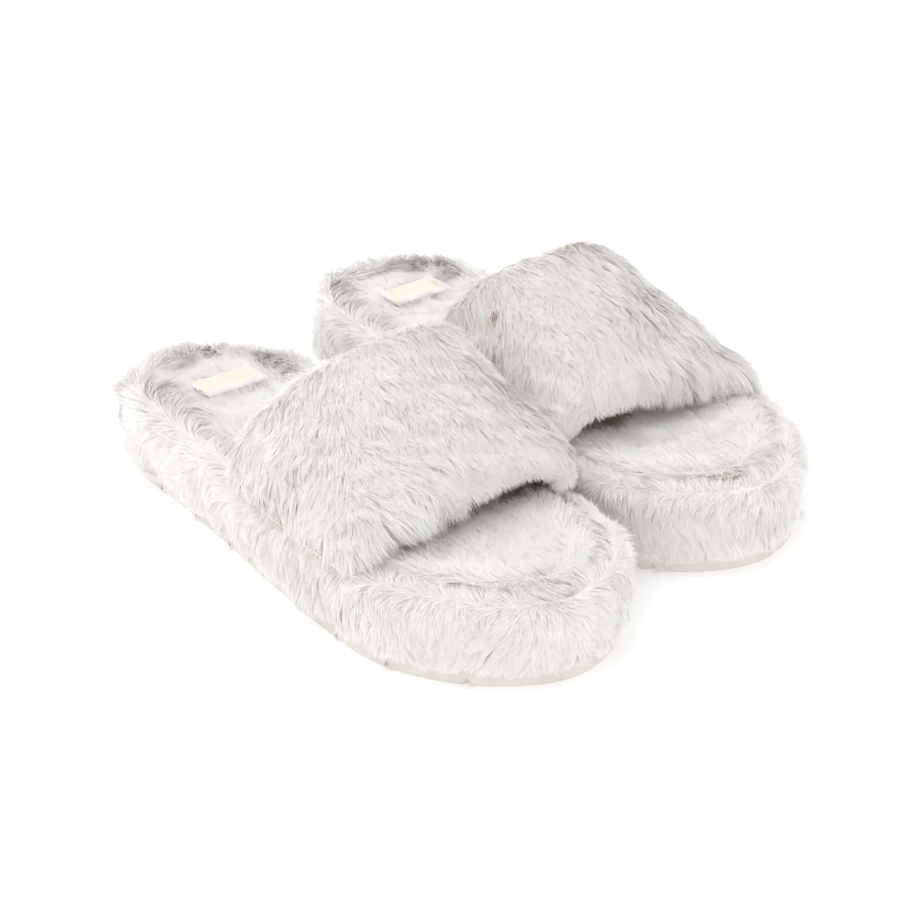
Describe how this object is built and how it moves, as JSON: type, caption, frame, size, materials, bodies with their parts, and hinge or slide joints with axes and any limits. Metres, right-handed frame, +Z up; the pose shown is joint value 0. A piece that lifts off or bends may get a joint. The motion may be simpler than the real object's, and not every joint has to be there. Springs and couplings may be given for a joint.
{
  "type": "slipper",
  "caption": "Pair of open-toe, open-heel slide slippers in long cream faux fur, with a wide padded strap over a fur-wrapped foam sole and a grooved rubber outsole.",
  "frame": {"origin": "bottom centre of the pair's bounding box, on the ground", "axes": "+Z up, the toes point to -Y and the heels to +Y, and the wearer's right slipper is on the -X side"},
  "size_m": [0.2192, 0.286, 0.0908],
  "materials": {
    "fur": "matte",
    "outsole_rubber": "matte",
    "sole_foam": "matte",
    "soft_foam": "matte",
    "fibreboard": "matte",
    "lining_cloth": "matte",
    "thread": "satin",
    "label_cloth": "satin"
  },
  "bodies": {
    "right_slipper": {"right_outsole": "outsole_rubber", "right_midsole": "sole_foam", "right_sole_wrap_fur": "fur", "right_insole_board": "fibreboard", "right_footbed_foam": "soft_foam", "right_footbed_fur": "fur", "right_footbed_seam": "thread", "right_heel_label": "label_cloth", "right_strap_fur": "fur", "right_strap_padding": "soft_foam", "right_strap_lining": "lining_cloth", "right_strap_seam_medial": "thread", "right_strap_seam_lateral": "thread", "right_strap_back_stitching": "thread", "right_strap_front_stitching": "thread"},
    "left_slipper": {"left_outsole": "outsole_rubber", "left_midsole": "sole_foam", "left_sole_wrap_fur": "fur", "left_insole_board": "fibreboard", "left_footbed_foam": "soft_foam", "left_footbed_fur": "fur", "left_footbed_seam": "thread", "left_heel_label": "label_cloth", "left_strap_fur": "fur", "left_strap_padding": "soft_foam", "left_strap_lining": "lining_cloth", "left_strap_seam_medial": "thread", "left_strap_seam_lateral": "thread", "left_strap_back_stitching": "thread", "left_strap_front_stitching": "thread"}
  },
  "joints": [
    {"name": "left_slipper_lift", "type": "slide", "parent": "right_slipper", "child": "left_slipper", "axis": [0, 0, 1], "range_m": [0, 0.15]}
  ]
}
